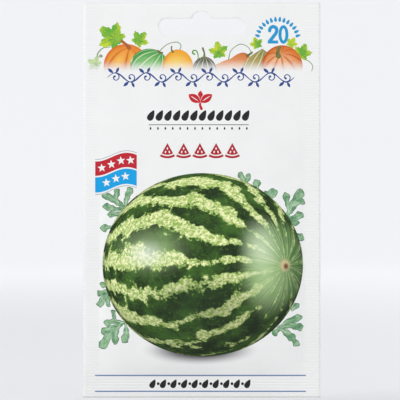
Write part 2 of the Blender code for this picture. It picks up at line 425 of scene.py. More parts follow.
def lay_flag(lay):
    """A waving flag of two bands with a fine line above and below, and stars in place of words."""
    lay("paper", flag_band(76.8, 90.7, 0.15))
    lay("flag line", flag_band(76.95, 77.25), flag_band(90.25, 90.5))
    lay("flag blue", flag_band(77.8, 83.6))
    lay("flag red", flag_band(84.15, 89.6))
    for middle, stars in ((86.9, (-37.4, -33.75, -30.1, -26.45)), (80.7, (-35.6, -32.0, -28.4))):
        for x in stars:
            lay("paper", star(x, middle + flag_lift(x), 1.7, 96))


def lay_foot(lay):
    """Two long rules with a border of seeds and dots between them."""
    lay("rule", box_outline(-40.0, 8.2, 40.0, 8.7), box_outline(-40.0, 2.15, 40.0, 2.65))
    lay("black", *row([(-18.0, 5.3), (18.0, 5.3)], 10, 3.6, 2.0, 62, 0.5))
    lay("black", *row([(-16.0, 5.3), (16.0, 5.3)], 9, 1.1, 1.1, 0, 0.0))


MONTHS = 12


def lay_calendar(lay):
    """A sprout over a sowing calendar between two rules: twelve bare boxes in each of three rows,
    filled for the months to sow, plant out and pick."""
    lay_sprout(lay, 0, 114)
    lay("navy", box_outline(-34, 108.4, 34, 108.75), box_outline(-34, 74.6, 34, 74.95))
    left, low, step, tall, gap, half_line, inset = -33.0, 79.5, 5.5, 8.0, 0.8, 0.12, 1.8
    filled = (("dark red", 7, 9), ("sky", 4, 6), ("melon leaf", 2, 4))
    for line, (ink_name, first, last) in enumerate(filled):
        base = low + line * (tall + gap)
        start, end = left + first * step, left + last * step
        lay(ink_name, box_outline(start, base + inset, end, base + tall - inset))
        for column in range(MONTHS + 1):
            x = left + column * step
            lay("rule", box_outline(x - half_line, base, x + half_line, base + tall))
        right = left + MONTHS * step + half_line
        for z in (base, base + tall):
            lay("rule", box_outline(left - half_line, z - half_line, right, z + half_line))


def lay_planting(lay):
    """Three seedlings over a line of soil, each with its seed and roots below."""
    soil = 42.2
    lay("soil", box_outline(-33, soil - 0.6, 33, soil + 0.1))
    lay("soil", *row([(-32, soil - 2.0), (32, soil - 2.0)], 40, 0.7, 0.5, 20, 0.3))
    for x, size in ((-22, 0.75), (0, 1.0), (22, 1.25)):
        top = soil + 11.0 * size
        lay("leaf edge", stroke([(x, soil - 6.0), (x + 0.5, soil - 0.2), (x, top)], [0.5, size, 0.8 * size]))
        for turn, long, up in ((35, 8.5, 1.0), (145, 8.5, 1.0), (60, 6.0, 0.62), (122, 6.0, 0.62)):
            root = soil + (top - soil) * up
            for name, share, width in (("leaf edge", 1.0, 3.6), ("melon leaf", 0.94, 2.9)):
                lay(name, placed(almond(long * size * share, width * size, 11), x, root, turn))
            lay("leaf vein", placed(almond(long * size * 0.8, 0.4 * size, 5), x, root, turn))
        lay("soil", *(stroke([(x, 36.4), (x + side * 1.6, 33.4), (x + side * 1.9, 30.4 - 2 * size)],
                             [0.5, 0.35, 0.2]) for side in (-1, 0.1, 1)))
        lay("black", placed(almond(4.0, 2.3, 11), x - 1.6, 35.6, 40))
    for i in range(5):
        lay_slice(lay, -24.6 + i * 12.3, 23.0)


def lay_count(lay):
    """The seed count in plain figures under an arc of small seeds."""
    two = [(26.25, 139.2), (26.5, 140.1), (27.5, 140.75), (28.75, 140.2), (28.85, 138.7), (27.7, 137.0),
           (26.2, 135.1)]
    lay("sky", stroke(two, [1.3, 1.3]), box_outline(25.55, 134.35, 29.5, 135.5))
    lay("sky", ellipse(31.5, 137.8, 1.9, 3.55, 40))
    lay("paper", ellipse(31.5, 137.8, 0.72, 2.3, 32))
    lay("sky", *row(arc(29.3, 135.7, 7.9, 7.9, 168, 12, 48), 14, 2.0, 1.05, 90, 0.4))


FRONT_PRINT = (lay_gourds, lay_scroll, lay_headings, lay_melon, lay_flag, lay_foot, lay_count)
BACK_PRINT = (lay_calendar, lay_planting, lay_foot)


# ---------------------------------------------------------------- nodes


# Kinds of node that the trees use most. A colour mix takes its share in socket 0 and its colours in
# sockets 6 and 7, and gives the mixed colour from socket 2.
MATH = "ShaderNodeMath"
VECTOR_MATH = "ShaderNodeVectorMath"
MIX = "ShaderNodeMix"
RANGE = "ShaderNodeMapRange"
NOISE = "ShaderNodeTexNoise"
SEPARATE = "ShaderNodeSeparateXYZ"
COMBINE = "ShaderNodeCombineXYZ"
RGBA = {"data_type": "RGBA"}
SMOOTH = {"interpolation_type": "SMOOTHSTEP"}
PLUS = {"operation": "ADD"}
LESS = {"operation": "SUBTRACT"}
TIMES = {"operation": "MULTIPLY"}
TIMES_PLUS = {"operation": "MULTIPLY_ADD"}


def add(tree, kind, inputs=(), out=0, **settings):
    """Adds a node, sets its properties, feeds its inputs and returns one of its outputs.

    inputs is a list in socket order or a dictionary by socket name or number. Each value is
    another node's output or a constant. With out=None, all the outputs are returned.
    """
    node = tree.nodes.new(kind)
    for name, value in settings.items():
        setattr(node, name, value)
    for key, value in inputs.items() if isinstance(inputs, dict) else enumerate(inputs):
        if isinstance(value, bpy.types.NodeSocket):
            tree.links.new(value, node.inputs[key])
        else:
            node.inputs[key].default_value = value
    return node.outputs if out is None else node.outputs[out]


def new_group(name, inputs):
    """A geometry node tree with a geometry in and out and named inputs, and its input sockets."""
    tree = bpy.data.node_groups.new(name, "GeometryNodeTree")
    tree.interface.new_socket("Geometry", in_out="INPUT", socket_type="NodeSocketGeometry")
    tree.interface.new_socket("Geometry", in_out="OUTPUT", socket_type="NodeSocketGeometry")
    for label, kind, default in inputs:
        socket = tree.interface.new_socket(label, in_out="INPUT", socket_type=kind)
        if default is not None:
            socket.default_value = default
    return tree, tree.nodes.new("NodeGroupInput").outputs


def run_tree(obj, tree, values):
    """Runs a geometry node tree on an object and returns the result as a plain mesh."""
    modifier = obj.modifiers.new(tree.name, "NODES")
    modifier.node_group = tree
    for item in tree.interface.items_tree:
        if item.in_out == "INPUT" and item.name in values:
            modifier[item.identifier] = values[item.name]
    graph = bpy.context.evaluated_depsgraph_get()
    mesh = bpy.data.meshes.new_from_object(obj.evaluated_get(graph), depsgraph=graph)
    obj.modifiers.remove(modifier)
    return mesh


def row_tree():
    """Pips along a path: each a filled ellipse that narrows to one end, turned from the path."""
    tree = bpy.data.node_groups.get("pips along a path")
    if tree:
        return tree
    number, real = "NodeSocketInt", "NodeSocketFloat"
    inputs = (("Count", number, 10), ("Length", real, 2.0), ("Width", real, 1.0), ("Turn", real, 0.0),
              ("Taper", real, 0.0), ("Material", "NodeSocketMaterial", None))
    tree, given = new_group("pips along a path", inputs)
    path = add(tree, "GeometryNodeResampleCurve", {"Curve": given["Geometry"], "Count": given["Count"]})
    points = add(tree, "GeometryNodeCurveToPoints", {"Curve": path}, None, mode="EVALUATED")
    facing = add(tree, "FunctionNodeAlignRotationToVector", {"Vector": points["Tangent"]}, axis="X")
    turn = add(tree, COMBINE, [0.0, 0.0, given["Turn"]])
    spin = add(tree, "FunctionNodeEulerToRotation", [turn])
    turned = add(tree, "FunctionNodeRotateRotation", {0: facing, 1: spin}, rotation_space="LOCAL")
    size = add(tree, COMBINE, [given["Length"], given["Width"], 1.0])
    disc = add(tree, "GeometryNodeMeshCircle", {"Vertices": 16, "Radius": 0.5}, fill_type="NGON")
    parts = add(tree, SEPARATE, [add(tree, "GeometryNodeInputPosition")], None)
    # The pip narrows from its blunt end to its pointed one, in step with the taper.
    lean = add(tree, MATH, [parts["X"], given["Taper"]], **TIMES)
    narrowing = add(tree, MATH, [lean, -2.0], **TIMES)
    aside = add(tree, MATH, [parts["Y"], narrowing], **TIMES)
    inward = add(tree, COMBINE, [0.0, aside, 0.0])
    pip = add(tree, "GeometryNodeSetPosition", {"Geometry": disc, "Offset": inward})
    fields = {"Points": points["Points"], "Instance": pip, "Rotation": turned, "Scale": size}
    pips = add(tree, "GeometryNodeInstanceOnPoints", fields)
    real_pips = add(tree, "GeometryNodeRealizeInstances", [pips])
    fields = {"Geometry": real_pips, "Material": given["Material"]}
    inked_pips = add(tree, "GeometryNodeSetMaterial", fields)
    add(tree, "NodeGroupOutput", [inked_pips], None)
    return tree


def row(path, count, pip_length, pip_width, turn, taper):
    """Outlines of pips spread along a path on the plate, turned by an angle from its direction."""
    curve = bpy.data.curves.new("path", "CURVE")
    curve.dimensions = "3D"
    spline = curve.splines.new("POLY")
    spline.points.add(len(path) - 1)
    for point, (x, z) in zip(spline.points, path):
        point.co = (x, z, 0, 1)
    obj = bpy.data.objects.new("path", curve)
    bpy.context.scene.collection.objects.link(obj)
    mesh = run_tree(obj, row_tree(), {
        "Count": count, "Length": pip_length, "Width": pip_width, "Turn": math.radians(turn), "Taper": taper,
    })
    outlines = [np.array([mesh.vertices[i].co[:2] for i in face.vertices]) for face in mesh.polygons]
    bpy.data.objects.remove(obj)
    return outlines


# ---------------------------------------------------------------- materials


def new_material(name):
    material = bpy.data.materials.new(name)
    material.use_nodes = True
    material.node_tree.nodes.clear()
    return material, material.node_tree


def finished(material, tree, fields):
    """Ends a material's tree with its shader and its output."""
    shader = add(tree, "ShaderNodeBsdfPrincipled", fields)
    add(tree, "ShaderNodeOutputMaterial", [shader], None)
    return material


def cloudy(tree, per_metre, detail=2.0, rough=0.5):
    """Noise over a piece, with so many clouds to a metre."""
    place = add(tree, "ShaderNodeTexCoord", out="Object")
    return add(tree, NOISE, {"Vector": place, "Scale": per_metre, "Detail": detail, "Roughness": rough})


def toned(tree, value, low, high, first, second, most=1.0):
    """A colour that goes from the first to the second as a value goes from low to high."""
    share = add(tree, RANGE, [value, low, high, 0.0, most], **SMOOTH)
    return add(tree, MIX, {0: share, 6: first, 7: second}, 2, **RGBA)


def wander(tree, vector, scale, detail, size, rough=0.5):
    """Noise that wanders over a size, half of it to each side of nought."""
    noise = add(tree, NOISE, {"Vector": vector, "Scale": scale, "Detail": detail, "Roughness": rough})
    return add(tree, MATH, [noise, size, -size / 2], **TIMES_PLUS)


def plate_to_world(x, z):
    return (x * MM, 0.0, BOTTOM + z * MM)


# The sealing jaws press ribs this far apart, about 0.02 mm deep. They are drawn deeper, so that they
# show, and they begin within a short step at the pouch's edge.
CRIMP_SPACING = 1.1 * MM
CRIMP_DEPTH = 0.05 * MM
CRIMP_STEP = 0.3 * MM


def paper_relief():
    """The relief that all the inks share: crimp ribs on the fused strips and a faint fibre grain."""
    tree = bpy.data.node_groups.get("lacquered paper relief")
    if tree:
        return tree
    shape = bpy.context.scene.packet_shape
    pouch_side, pouch_foot = WIDTH / 2 - shape.side_seal, BOTTOM + shape.bottom_seal
    tree = bpy.data.node_groups.new("lacquered paper relief", "ShaderNodeTree")
    tree.interface.new_socket("Normal", in_out="OUTPUT", socket_type="NodeSocketVector")
    parts = add(tree, SEPARATE, [add(tree, "ShaderNodeTexCoord", out="Object")], None)
    turns = add(tree, MATH, [parts["Z"], 2 * math.pi / CRIMP_SPACING], **TIMES)
    rib = add(tree, MATH, [turns], operation="SINE")
    aside = add(tree, MATH, [parts["X"]], operation="ABSOLUTE")
    side = add(tree, RANGE, [aside, pouch_side - CRIMP_STEP, pouch_side], **SMOOTH)
    foot = add(tree, RANGE, [parts["Z"], pouch_foot, pouch_foot - CRIMP_STEP], **SMOOTH)
    sealed = add(tree, MATH, [side, foot], operation="MAXIMUM")
    crimp = add(tree, MATH, [rib, sealed], **TIMES)
    half_crimp = add(tree, MATH, [crimp, 0.5], **TIMES)
    # Single fibres are too fine to show, so the grain is drawn as clumps of about 0.3 mm.
    height = add(tree, MATH, [cloudy(tree, 3000.0, 3.0), 0.1, half_crimp], **TIMES_PLUS)
    bump = add(tree, "ShaderNodeBump", {"Strength": 1.0, "Distance": CRIMP_DEPTH, "Height": height})
    add(tree, "NodeGroupOutput", [bump], None)
    return tree


def lacquer(material, tree, ink_colour):
    """Clay-coated paper, offset printed and press lacquered. The clay keeps the colours bright and
    clean, and the thin lacquer gives the eye a soft, even sheen that varies over about 1.5 mm."""
    sheen = add(tree, RANGE, [cloudy(tree, 700.0, 3.0), 0.3, 0.7, 0.34, 0.43], **SMOOTH)
    normal = add(tree, "ShaderNodeGroup", node_tree=paper_relief())
    return finished(material, tree, {
        "Base Color": ink_colour, "Roughness": sheen, "IOR": 1.45, "Specular IOR Level": 0.3,
        "Normal": normal,
    })


def paper_white(tree):
    """The paper's own white, very slightly uneven over about 17 mm."""
    white = tuple(bpy.context.scene.packet_inks.paper)
    dull = tuple(c * 0.98 for c in white[:3]) + (1.0,)
    return toned(tree, cloudy(tree, 60.0), 0.35, 0.65, white, dull)


def bare_paper():
    """Unprinted clay-coated paper under its lacquer: a clean white with a satin sheen."""
    name = "clay-coated paper, lacquered"
    found = bpy.data.materials.get(name)
    if found:
        return found
    material, tree = new_material(name)
    return lacquer(material, tree, paper_white(tree))


def solid_ink(tree, rgba):
    """One flat ink, laid a little unevenly. The dots of an offset screen are too fine to show, so they
    are drawn as faint specks of about 0.2 mm."""
    thin = tuple(min(1.0, c * 1.06 + 0.006) for c in rgba[:3]) + (1.0,)
    return toned(tree, cloudy(tree, 5000.0), 0.35, 0.75, tuple(rgba), thin)


def faded(tree, ink_colour, clear, full):
    """An ink that fades into the paper between two heights on the plate."""
    height = add(tree, SEPARATE, [add(tree, "ShaderNodeTexCoord", out="Object")], "Z")
    return toned(tree, height, BOTTOM + clear * MM, BOTTOM + full * MM, paper_white(tree), ink_colour)


def mottled_ink(tree, first, second, per_metre, fade=None):
    """Two tones that run into each other, as in a watercolour drawing."""
    drawn = toned(tree, cloudy(tree, per_metre, 3.0), 0.35, 0.65, colour(first), colour(second))
    return faded(tree, drawn, *fade) if fade else drawn


# A size along Y, in metres, beside which the depth of a printed sheet is nothing.
ANY_DEPTH = 1e6


def soft_patch(tree, centre, size, core=0.0, strength=1.0):
    """A soft round patch on the plate: full strength in its core, falling to 0 at its size."""
    place = add(tree, "ShaderNodeTexCoord", out="Object")
    fields = {"Vector": place, "Location": plate_to_world(*centre),
              "Scale": (size[0] * MM, ANY_DEPTH, size[1] * MM)}
    local = add(tree, "ShaderNodeMapping", fields, vector_type="TEXTURE")
    far = add(tree, VECTOR_MATH, [local], "Value", operation="LENGTH")
    return add(tree, RANGE, [far, 1.0, core, 0.0, strength], **SMOOTH)


def on_fruit(tree, centre, radii, tilt, pole):
    """Places on a pictured round fruit: as seen, on the unit sphere (right, up, out), and how far out;
    in the fruit's own frame with its end along Z, the angle round that axis and the height up it."""
    place = add(tree, "ShaderNodeTexCoord", out="Object")
    fields = {"Vector": place, "Location": plate_to_world(*centre), "Rotation": (0, -math.radians(tilt), 0),
              "Scale": (radii[0] * MM, 1, radii[1] * MM)}
    local = add(tree, "ShaderNodeMapping", fields, vector_type="TEXTURE")
    parts = add(tree, SEPARATE, [local], None)
    u, v = parts["X"], parts["Z"]
    v_squared = add(tree, MATH, [v, v], **TIMES)
    flat = add(tree, MATH, [u, u, v_squared], **TIMES_PLUS)
    depth = add(tree, MATH, [1.0, flat], **LESS, use_clamp=True)
    outward = add(tree, MATH, [depth], operation="SQRT")
    seen = add(tree, COMBINE, [u, v, outward])
    turn = Vector(pole).normalized().rotation_difference(Vector((0, 0, 1))).to_euler()
    own = add(tree, "ShaderNodeMapping", {"Vector": seen, "Rotation": tuple(turn)}, vector_type="POINT")
    axes = add(tree, SEPARATE, [own], None)
    around = add(tree, MATH, [axes["Y"], axes["X"]], operation="ARCTAN2")
    return seen, outward, own, around, axes["Z"]


MELON_STRIPES = 17.0

# Soft patches laid over the melon, in order: centre, half sizes, solid core, strength, colour, and how
# it is laid on. They are the shade under its middle, its shine, and the scar at its blossom end.
MELON_PATCHES = (
    ((-1.5, 36.5), (27.0, 13.0), 0.0, 0.50, "#1B3515", "MIX"),
    ((-19.0, 56.0), (18.0, 12.0), 0.0, 0.50, "#B9D69A", "SCREEN"),
    ((-21.0, 54.5), (9.0, 6.5), 0.0, 0.55, "#F2F8EA", "SCREEN"),
    ((22.0, 58.0), (9.5, 13.0), 0.0, 0.60, "#D3E6C0", "SCREEN"),
    ((24.0, 48.0), (12.0, 20.0), 0.0, 0.70, "#B4D092", "SCREEN"),
    ((31.5, 50.3), (2.5, 2.9), 0.4, 1.0, "#CDBE8E", "MIX"),
    ((31.9, 49.9), (1.3, 1.7), 0.3, 1.0, "#7A5236", "MIX"),
)


def melon_ink(tree):
    """A printed watermelon: dark green rind with ragged pale bands that run to its blossom end."""
    seen, outward, own, around, up = on_fruit(tree, MELON_CENTRE, MELON_RADII, 0, MELON_POLE)

    # Bands that wander a little, with gaps, built up of clustered pale dabs of 1 to 2 mm.
    bent = add(tree, MATH, [around, wander(tree, own, 1.7, 3.0, 0.62)], **PLUS)
    turns = add(tree, MATH, [bent, MELON_STRIPES], **TIMES)
    bands = add(tree, MATH, [turns], operation="SINE")
    gaps = wander(tree, own, 3.1, 2.0, 2.6)
    ragged = wander(tree, own, 8.0, 5.0, 3.8, 0.7)
    cells = add(tree, "ShaderNodeTexVoronoi", {"Vector": own, "Scale": 30.0, "Randomness": 1.0})
    dabs = add(tree, MATH, [0.42, cells], **LESS)
    edges = add(tree, MATH, [dabs, 0.5, ragged], **TIMES_PLUS)
    worn = add(tree, MATH, [gaps, edges], **PLUS)
    pale = add(tree, MATH, [bands, 0.66, worn], **TIMES_PLUS)
    # The bands are wider towards the stalk end and the top.
    wider = add(tree, VECTOR_MATH, [seen, (-0.30, 0.22, 0.0)], "Value", operation="DOT_PRODUCT")
    pale = add(tree, MATH, [pale, wider], **PLUS)
    pale = add(tree, MATH, [pale, 0.02], **LESS)

    # Each tone is broken up by flecks of about 1 mm, and the darkest also by clouds of about 10 mm.
    deep = add(tree, NOISE, {"Vector": own, "Scale": 4.0, "Detail": 5.0, "Roughness": 0.6})
    flecks = add(tree, NOISE, {"Vector": own, "Scale": 30.0, "Detail": 4.0, "Roughness": 0.72})
    dark = toned(tree, deep, 0.35, 0.68, colour("#162C08"), colour("#3C6420"))
    dark = toned(tree, flecks, 0.52, 0.75, dark, colour("#7F9F4E"), 0.4)
    middle = toned(tree, flecks, 0.38, 0.62, colour("#4E7A30"), colour("#98B458"))
    light = toned(tree, flecks, 0.4, 0.6, colour("#8DAE4C"), colour("#E9EDB2"))
    rind = toned(tree, pale, 0.02, 0.2, dark, middle)
    rind = toned(tree, pale, 0.16, 0.46, rind, light)

    # Fine pale streaks fan out round the blossom end.
    spread = add(tree, MATH, [around, 8.0], **TIMES)
    ray = add(tree, COMBINE, [spread, up, 0.0])
    streaks = add(tree, NOISE, {"Vector": ray, "Scale": 2.2, "Detail": 4.0, "Roughness": 0.7})
    fan = toned(tree, streaks, 0.42, 0.66, colour("#4C8C3A"), colour("#D2E6AE"))
    rind = toned(tree, up, 0.82, 0.98, rind, fan, 0.66)

    # Light falls from above on the left, and the fruit darkens towards its foot and its rim.
    facing = add(tree, VECTOR_MATH, [seen, (-0.30, 0.50, 0.55)], "Value", operation="DOT_PRODUCT")
    lit = add(tree, RANGE, [facing, -0.5, 0.7, 0.5, 1.15], **SMOOTH)
    rim = add(tree, RANGE, [outward, 0.0, 0.3, 0.62, 1.0], **SMOOTH)
    shade = add(tree, MATH, [lit, rim], **TIMES)
    rind = add(tree, MIX, {0: 1.0, 6: rind, 7: shade}, 2, **RGBA, blend_type="MULTIPLY")
    for centre, size, core, strength, hex_text, blend in MELON_PATCHES:
        share = soft_patch(tree, centre, size, core, strength)
        rind = add(tree, MIX, {0: share, 6: rind, 7: colour(hex_text)}, 2, **RGBA, blend_type=blend)
    return rind


# How each gourd is coloured: the lines round it and how wide they are, then the colours of the lines,
# the rim, the skin and the lit skin.
RINDS = {
    "orange pumpkin": (7, 0.34, "#C9641A", "#D9701C", "#E98A2E", "#FAC65F"),
    "green melon": (12, 0.55, "#DDEFC4", "#2F8038", "#459C46", "#9AD484"),
    "yellow melon": (0, 0.0, "#E09A28", "#E08E24", "#F2AC30", "#FBDD7A"),
    "dark gourd": (10, 0.50, "#ECEADF", "#3A3D2C", "#4E513A", "#86876C"),
    "big pumpkin": (9, 0.30, "#AC4C1A", "#BE561B", "#DE7830", "#F8CDA0"),
    "squash": (0, 0.0, "#A3552A", "#A3552A", "#DC8446", "#F8D3B0"),
    "stripe gourd": (16, 0.50, "#F2E8C0", "#74763F", "#8A8B4E", "#C4A860"),
}


def gourd_ink(tree, place, ribs, line_width, line, rim, skin, lit):
    """A pictured gourd: lobes that run to its stem, lit low on the side, as in a watercolour drawing."""
    seen, outward, own, around, _up = on_fruit(tree, *place)
    facing = add(tree, VECTOR_MATH, [seen, (-0.15, -0.40, 0.80)], "Value", operation="DOT_PRODUCT")
    share = add(tree, RANGE, [facing, 0.05, 0.90], **SMOOTH)
    if ribs:
        turns = add(tree, MATH, [around, ribs / 2], **TIMES)
        swing = add(tree, MATH, [turns], operation="SINE")
        wave = add(tree, MATH, [swing], operation="ABSOLUTE")
        lobe = add(tree, RANGE, [wave, 0.1, 1.0, 0.25, 1.0], **SMOOTH)
        share = add(tree, MATH, [lobe, share], **TIMES)
    drawn = add(tree, MIX, {0: share, 6: colour(skin), 7: colour(lit)}, 2, **RGBA)
    patches = add(tree, NOISE, {"Vector": own, "Scale": 7.0})
    drawn = toned(tree, patches, 0.4, 0.7, drawn, colour(skin), 0.3)
    drawn = toned(tree, outward, 0.55, 0.0, drawn, colour(rim), 0.9)
    if ribs:
        drawn = toned(tree, wave, line_width, 0.0, drawn, colour(line), 0.9)
    return faded(tree, drawn, *GOURD_FADE)


GOURD_FADE = (123.3, 128.3)

# Inks drawn in two tones: their colours, how many mottles to a metre, and where they fade out. The
# mottles are 2 to 5 mm long.
TWO_TONE = {
    "melon leaf": ("#5F9168", "#9DC29A", 520.0),
    "leaf edge": ("#3B6846", "#618E68", 420.0),
    "leaf vein": ("#487A52", "#C2DDBC", 300.0),
    "soil": ("#6B4A33", "#8A6547", 500.0),
    "vine leaf": ("#63AE38", "#C6D834", 190.0, GOURD_FADE),
    "pale leaf": ("#A9CBA0", "#C9DDA6", 190.0, (123.0, 128.0)),
    "vine vein": ("#3F8F3C", "#9CC446", 300.0, GOURD_FADE),
    "tendril": ("#7E9C78", "#9DB08A", 300.0, (121.0, 125.0)),
    "stem": ("#5F6A34", "#7C8044", 400.0, GOURD_FADE),
    "brown stem": ("#A0522A", "#B96A34", 400.0, GOURD_FADE),
}

# Gourds drawn by an outline of their own: centre, half sizes, tilt and stem end, as in GOURDS.
DRAWN_GOURDS = (
    ("squash", (12.0, 122.0), (11.5, 9.0), 12, (0.8, 0.5, 0.3)),
    ("stripe gourd", (20.4, 125.6), (6.0, 7.4), 0, (0.50, 0.86, 0.1)),
)


def ink_material(name):
    """The material of an ink under the press lacquer, made when it is first asked for. Offset printing
    gives the eye smooth tones with crisp edges, and no relief of their own."""
    full_name = name + ", lacquered offset ink"
    found = bpy.data.materials.get(full_name)
    if found:
        return found
    material, tree = new_material(full_name)
    if name in TWO_TONE:
        drawn = mottled_ink(tree, *TWO_TONE[name])
    elif name in RINDS:
        place = next(gourd[1:] for gourd in GOURDS + DRAWN_GOURDS if gourd[0] == name)
        drawn = gourd_ink(tree, place, *RINDS[name])
    elif name == "melon":
        drawn = melon_ink(tree)
    elif name == "shadow":
        under = soft_patch(tree, (-0.6, 18.2), (23.0, 6.0), 0.30)
        drawn = add(tree, MIX, {0: under, 6: paper_white(tree), 7: colour("#4B474E")}, 2, **RGBA)
    else:
        drawn = solid_ink(tree, getattr(bpy.context.scene.packet_inks, name.replace(" ", "_")))
    return lacquer(material, tree, drawn)


def seed_coat():
    """Coat of a ripe, dried melon seed: hard and waxy. It gives the eye a dark brown with a dull gleam
    and paler flecks of about 1 mm."""
    material, tree = new_material("dried melon seed coat")
    flecks = cloudy(tree, 900.0, 4.0, 0.6)
    coat = toned(tree, flecks, 0.45, 0.65, colour("#2A1A12"), colour("#6B4A30"))
    bump = add(tree, "ShaderNodeBump", {"Strength": 0.3, "Distance": 0.1 * MM, "Height": flecks})
    return finished(material, tree, {"Base Color": coat, "Roughness": 0.42, "Normal": bump})


def sealant():
    """Polyethylene sealant, fused by hot jaws. It gives the eye a milky, waxy edge, faintly cloudy
    over 2 to 3 mm."""
    material, tree = new_material("polyethylene sealant, fused")
    milky = toned(tree, cloudy(tree, 400.0, 3.0), 0.4, 0.6, colour("#E2E1DA"), colour("#CFCEC6"))
    return finished(material, tree, {"Base Color": milky, "Roughness": 0.5})


# ---------------------------------------------------------------- the paper webs


def band_outlines():
    """The fused band's outlines on the plate, read from its CAD solid: the packet's edge, the
    pouch's window and the hang slot."""
    bm = bmesh.new()
    bm.from_mesh(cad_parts["heat_seal_band"].data)
    bmesh.ops.remove_doubles(bm, verts=bm.verts, dist=1e-7)
    corners = [edge for edge in bm.edges if all(vert.co.y < 0 for vert in edge.verts) and is_corner(edge)]
    loops = sorted(chained(corners), key=lambda loop: -np.prod(np.ptp(loop, axis=0)))
    bm.free()
    return [divided(loop, PRINT_SPACING) for loop in loops]


def is_corner(edge):
    """True for an edge between a face that looks along Y and one that doesn't."""
    flat = [abs(face.normal.y) > 0.5 for face in edge.link_faces]
    return len(flat) == 2 and flat[0] != flat[1]


def chained(edges):
    """Edges joined end to end into closed loops of points on the plate."""
    beside = {}
    for edge in edges:
        a, b = edge.verts
        beside.setdefault(a, []).append(b)
        beside.setdefault(b, []).append(a)
    loops, seen = [], set()
    for start in beside:
        loop, here = [], None if start in seen else start
        while here is not None:
            seen.add(here)
            loop.append((here.co.x / MM, (here.co.z - BOTTOM) / MM))
            here = next((vert for vert in beside[here] if vert not in seen), None)
        if loop:
            loops.append(np.array(loop))
    return loops


def inside(points, outline):
    """Which points lie inside an outline, by how often it winds round them."""
    a = outline
    b = np.roll(outline, -1, axis=0)
    px, pz = points[:, 0:1], points[:, 1:2]
    side = (b[:, 0] - a[:, 0]) * (pz - a[:, 1]) - (px - a[:, 0]) * (b[:, 1] - a[:, 1])
    up = (a[:, 1] <= pz) & (b[:, 1] > pz) & (side > 0)
    down = (a[:, 1] > pz) & (b[:, 1] <= pz) & (side < 0)
    return (up.sum(axis=1) - down.sum(axis=1)) != 0


# How near two points of a flat face are the same one, the least area of a triangle worth keeping, and
# how far apart the rows of points are, as a share of the spacing along them.
SAME_POINT = 1e-4
LEAST_AREA = 5e-8
ROW_SHARE = 0.9


def flat_face(edge, holes, creases, spacing):
    """A flat face inside an edge and outside its holes, in triangles that follow every crease, with
    points at a spacing between them. Returns its points, its triangles, the middle of each, and the
    points along the edge and each hole."""
    points, links, runs = [], [], []
    for loop in [edge, *holes, *creases]:
        start, count = len(points), len(loop)
        points += [Vector(point) for point in loop]
        links += [(start + i, start + (i + 1) % count) for i in range(count)]
        runs.append(range(start, start + count))
    (left, low), (right, high) = edge.min(axis=0), edge.max(axis=0)
    for i, z in enumerate(np.arange(low + spacing, high - spacing / 2, spacing * ROW_SHARE)):
        across = np.arange(left + spacing, right - spacing / 2, spacing) + (spacing / 2 if i % 2 else 0)
        points += [Vector((x, z)) for x in across if x < right - spacing / 3]
    found, _, faces, origins, *_ = delaunay_2d_cdt(points, links, [], 0, SAME_POINT)
    now = {old: new for new, olds in enumerate(origins) for old in olds}
    found = np.array([tuple(point) for point in found])
    faces = np.array([face for face in faces if len(face) == 3])
    corners = found[faces]
    middle = corners.mean(axis=1)
    one, two = corners[:, 1] - corners[:, 0], corners[:, 2] - corners[:, 0]
    keep = np.abs(one[:, 0] * two[:, 1] - one[:, 1] * two[:, 0]) > 2 * LEAST_AREA
    for hole in holes:
        keep &= ~inside(middle, hole)
    rims = [[now[i] for i in run] for run in runs[: 1 + len(holes)]]
    return found, faces[keep], middle[keep], rims


def inked(middle, plate):
    """The place in the plate's list of the last shape laid over each triangle, or -1 for paper."""
    shape = np.full(len(middle), -1)
    for number, (_, outline) in enumerate(plate):
        low, high = outline.min(axis=0), outline.max(axis=0)
        near = np.flatnonzero(((middle >= low) & (middle <= high)).all(axis=1))
        if len(near):
            shape[near[inside(middle[near], outline)]] = number
    return shape


def sheet_mesh(name, outer, inner, holes, creases, plate, base):
    """A closed flat sheet between two depths: a printed outer face, a plain inner one, and the cut
    edges between them. The print reads the right way round from outside."""
    edge = band_outlines()[0]
    mirror = -1 if outer > inner else 1
    plate = [(ink_name, outline * (mirror, 1)) for ink_name, outline in plate]
    names = ["paper"] + sorted({ink_name for ink_name, _ in plate} - {"paper"})
    ink_of = np.array([names.index(ink_name) for ink_name, _ in plate] + [0])
    bm = bmesh.new()
    layer = bm.loops.layers.uv.new("OFBake")
    rims = []
    outlines = [outline for _, outline in plate]
    for depth, lines, spacing in ((outer, outlines, PRINT_SPACING), (inner, [], PLAIN_SPACING)):
        points, faces, middle, rim = flat_face(edge, holes, creases + lines, spacing)
        verts = [bm.verts.new((x * MM, depth, BOTTOM + z * MM)) for x, z in points]
        ink_here = ink_of[inked(middle, plate)] if len(lines) else np.zeros(len(faces), int)
        for corners, ink_index in zip(faces, ink_here):
            face = bm.faces.new([verts[i] for i in corners])
            face.material_index = int(ink_index)
            face.smooth = True
            lay_on_map(face, layer, mirror, depth == outer)
        rims.append([[verts[i] for i in loop] for loop in rim])
    for outer_rim, inner_rim in zip(*rims):
        for i, (a, d) in enumerate(zip(outer_rim, inner_rim)):
            wall = bm.faces.new((a, outer_rim[i - 1], inner_rim[i - 1], d))
            lay_on_map(wall, layer, mirror, False)
    bmesh.ops.delete(bm, geom=[vert for vert in bm.verts if not vert.link_faces], context="VERTS")
    bmesh.ops.recalc_face_normals(bm, faces=bm.faces)
    mesh = bpy.data.meshes.new(name)
    bm.to_mesh(mesh)
    bm.free()
    for ink_name in names:
        mesh.materials.append(base if ink_name == "paper" else ink_material(ink_name))
    return mesh


# Parts of the map, from 0 to 1: how wide all faces lie, how high the printed ones and the others.
MAP_LEFT, MAP_RIGHT = 0.004, 0.996
PRINTED_PART = (0.036, 0.998)
PLAIN_PART = (0.002, 0.024)


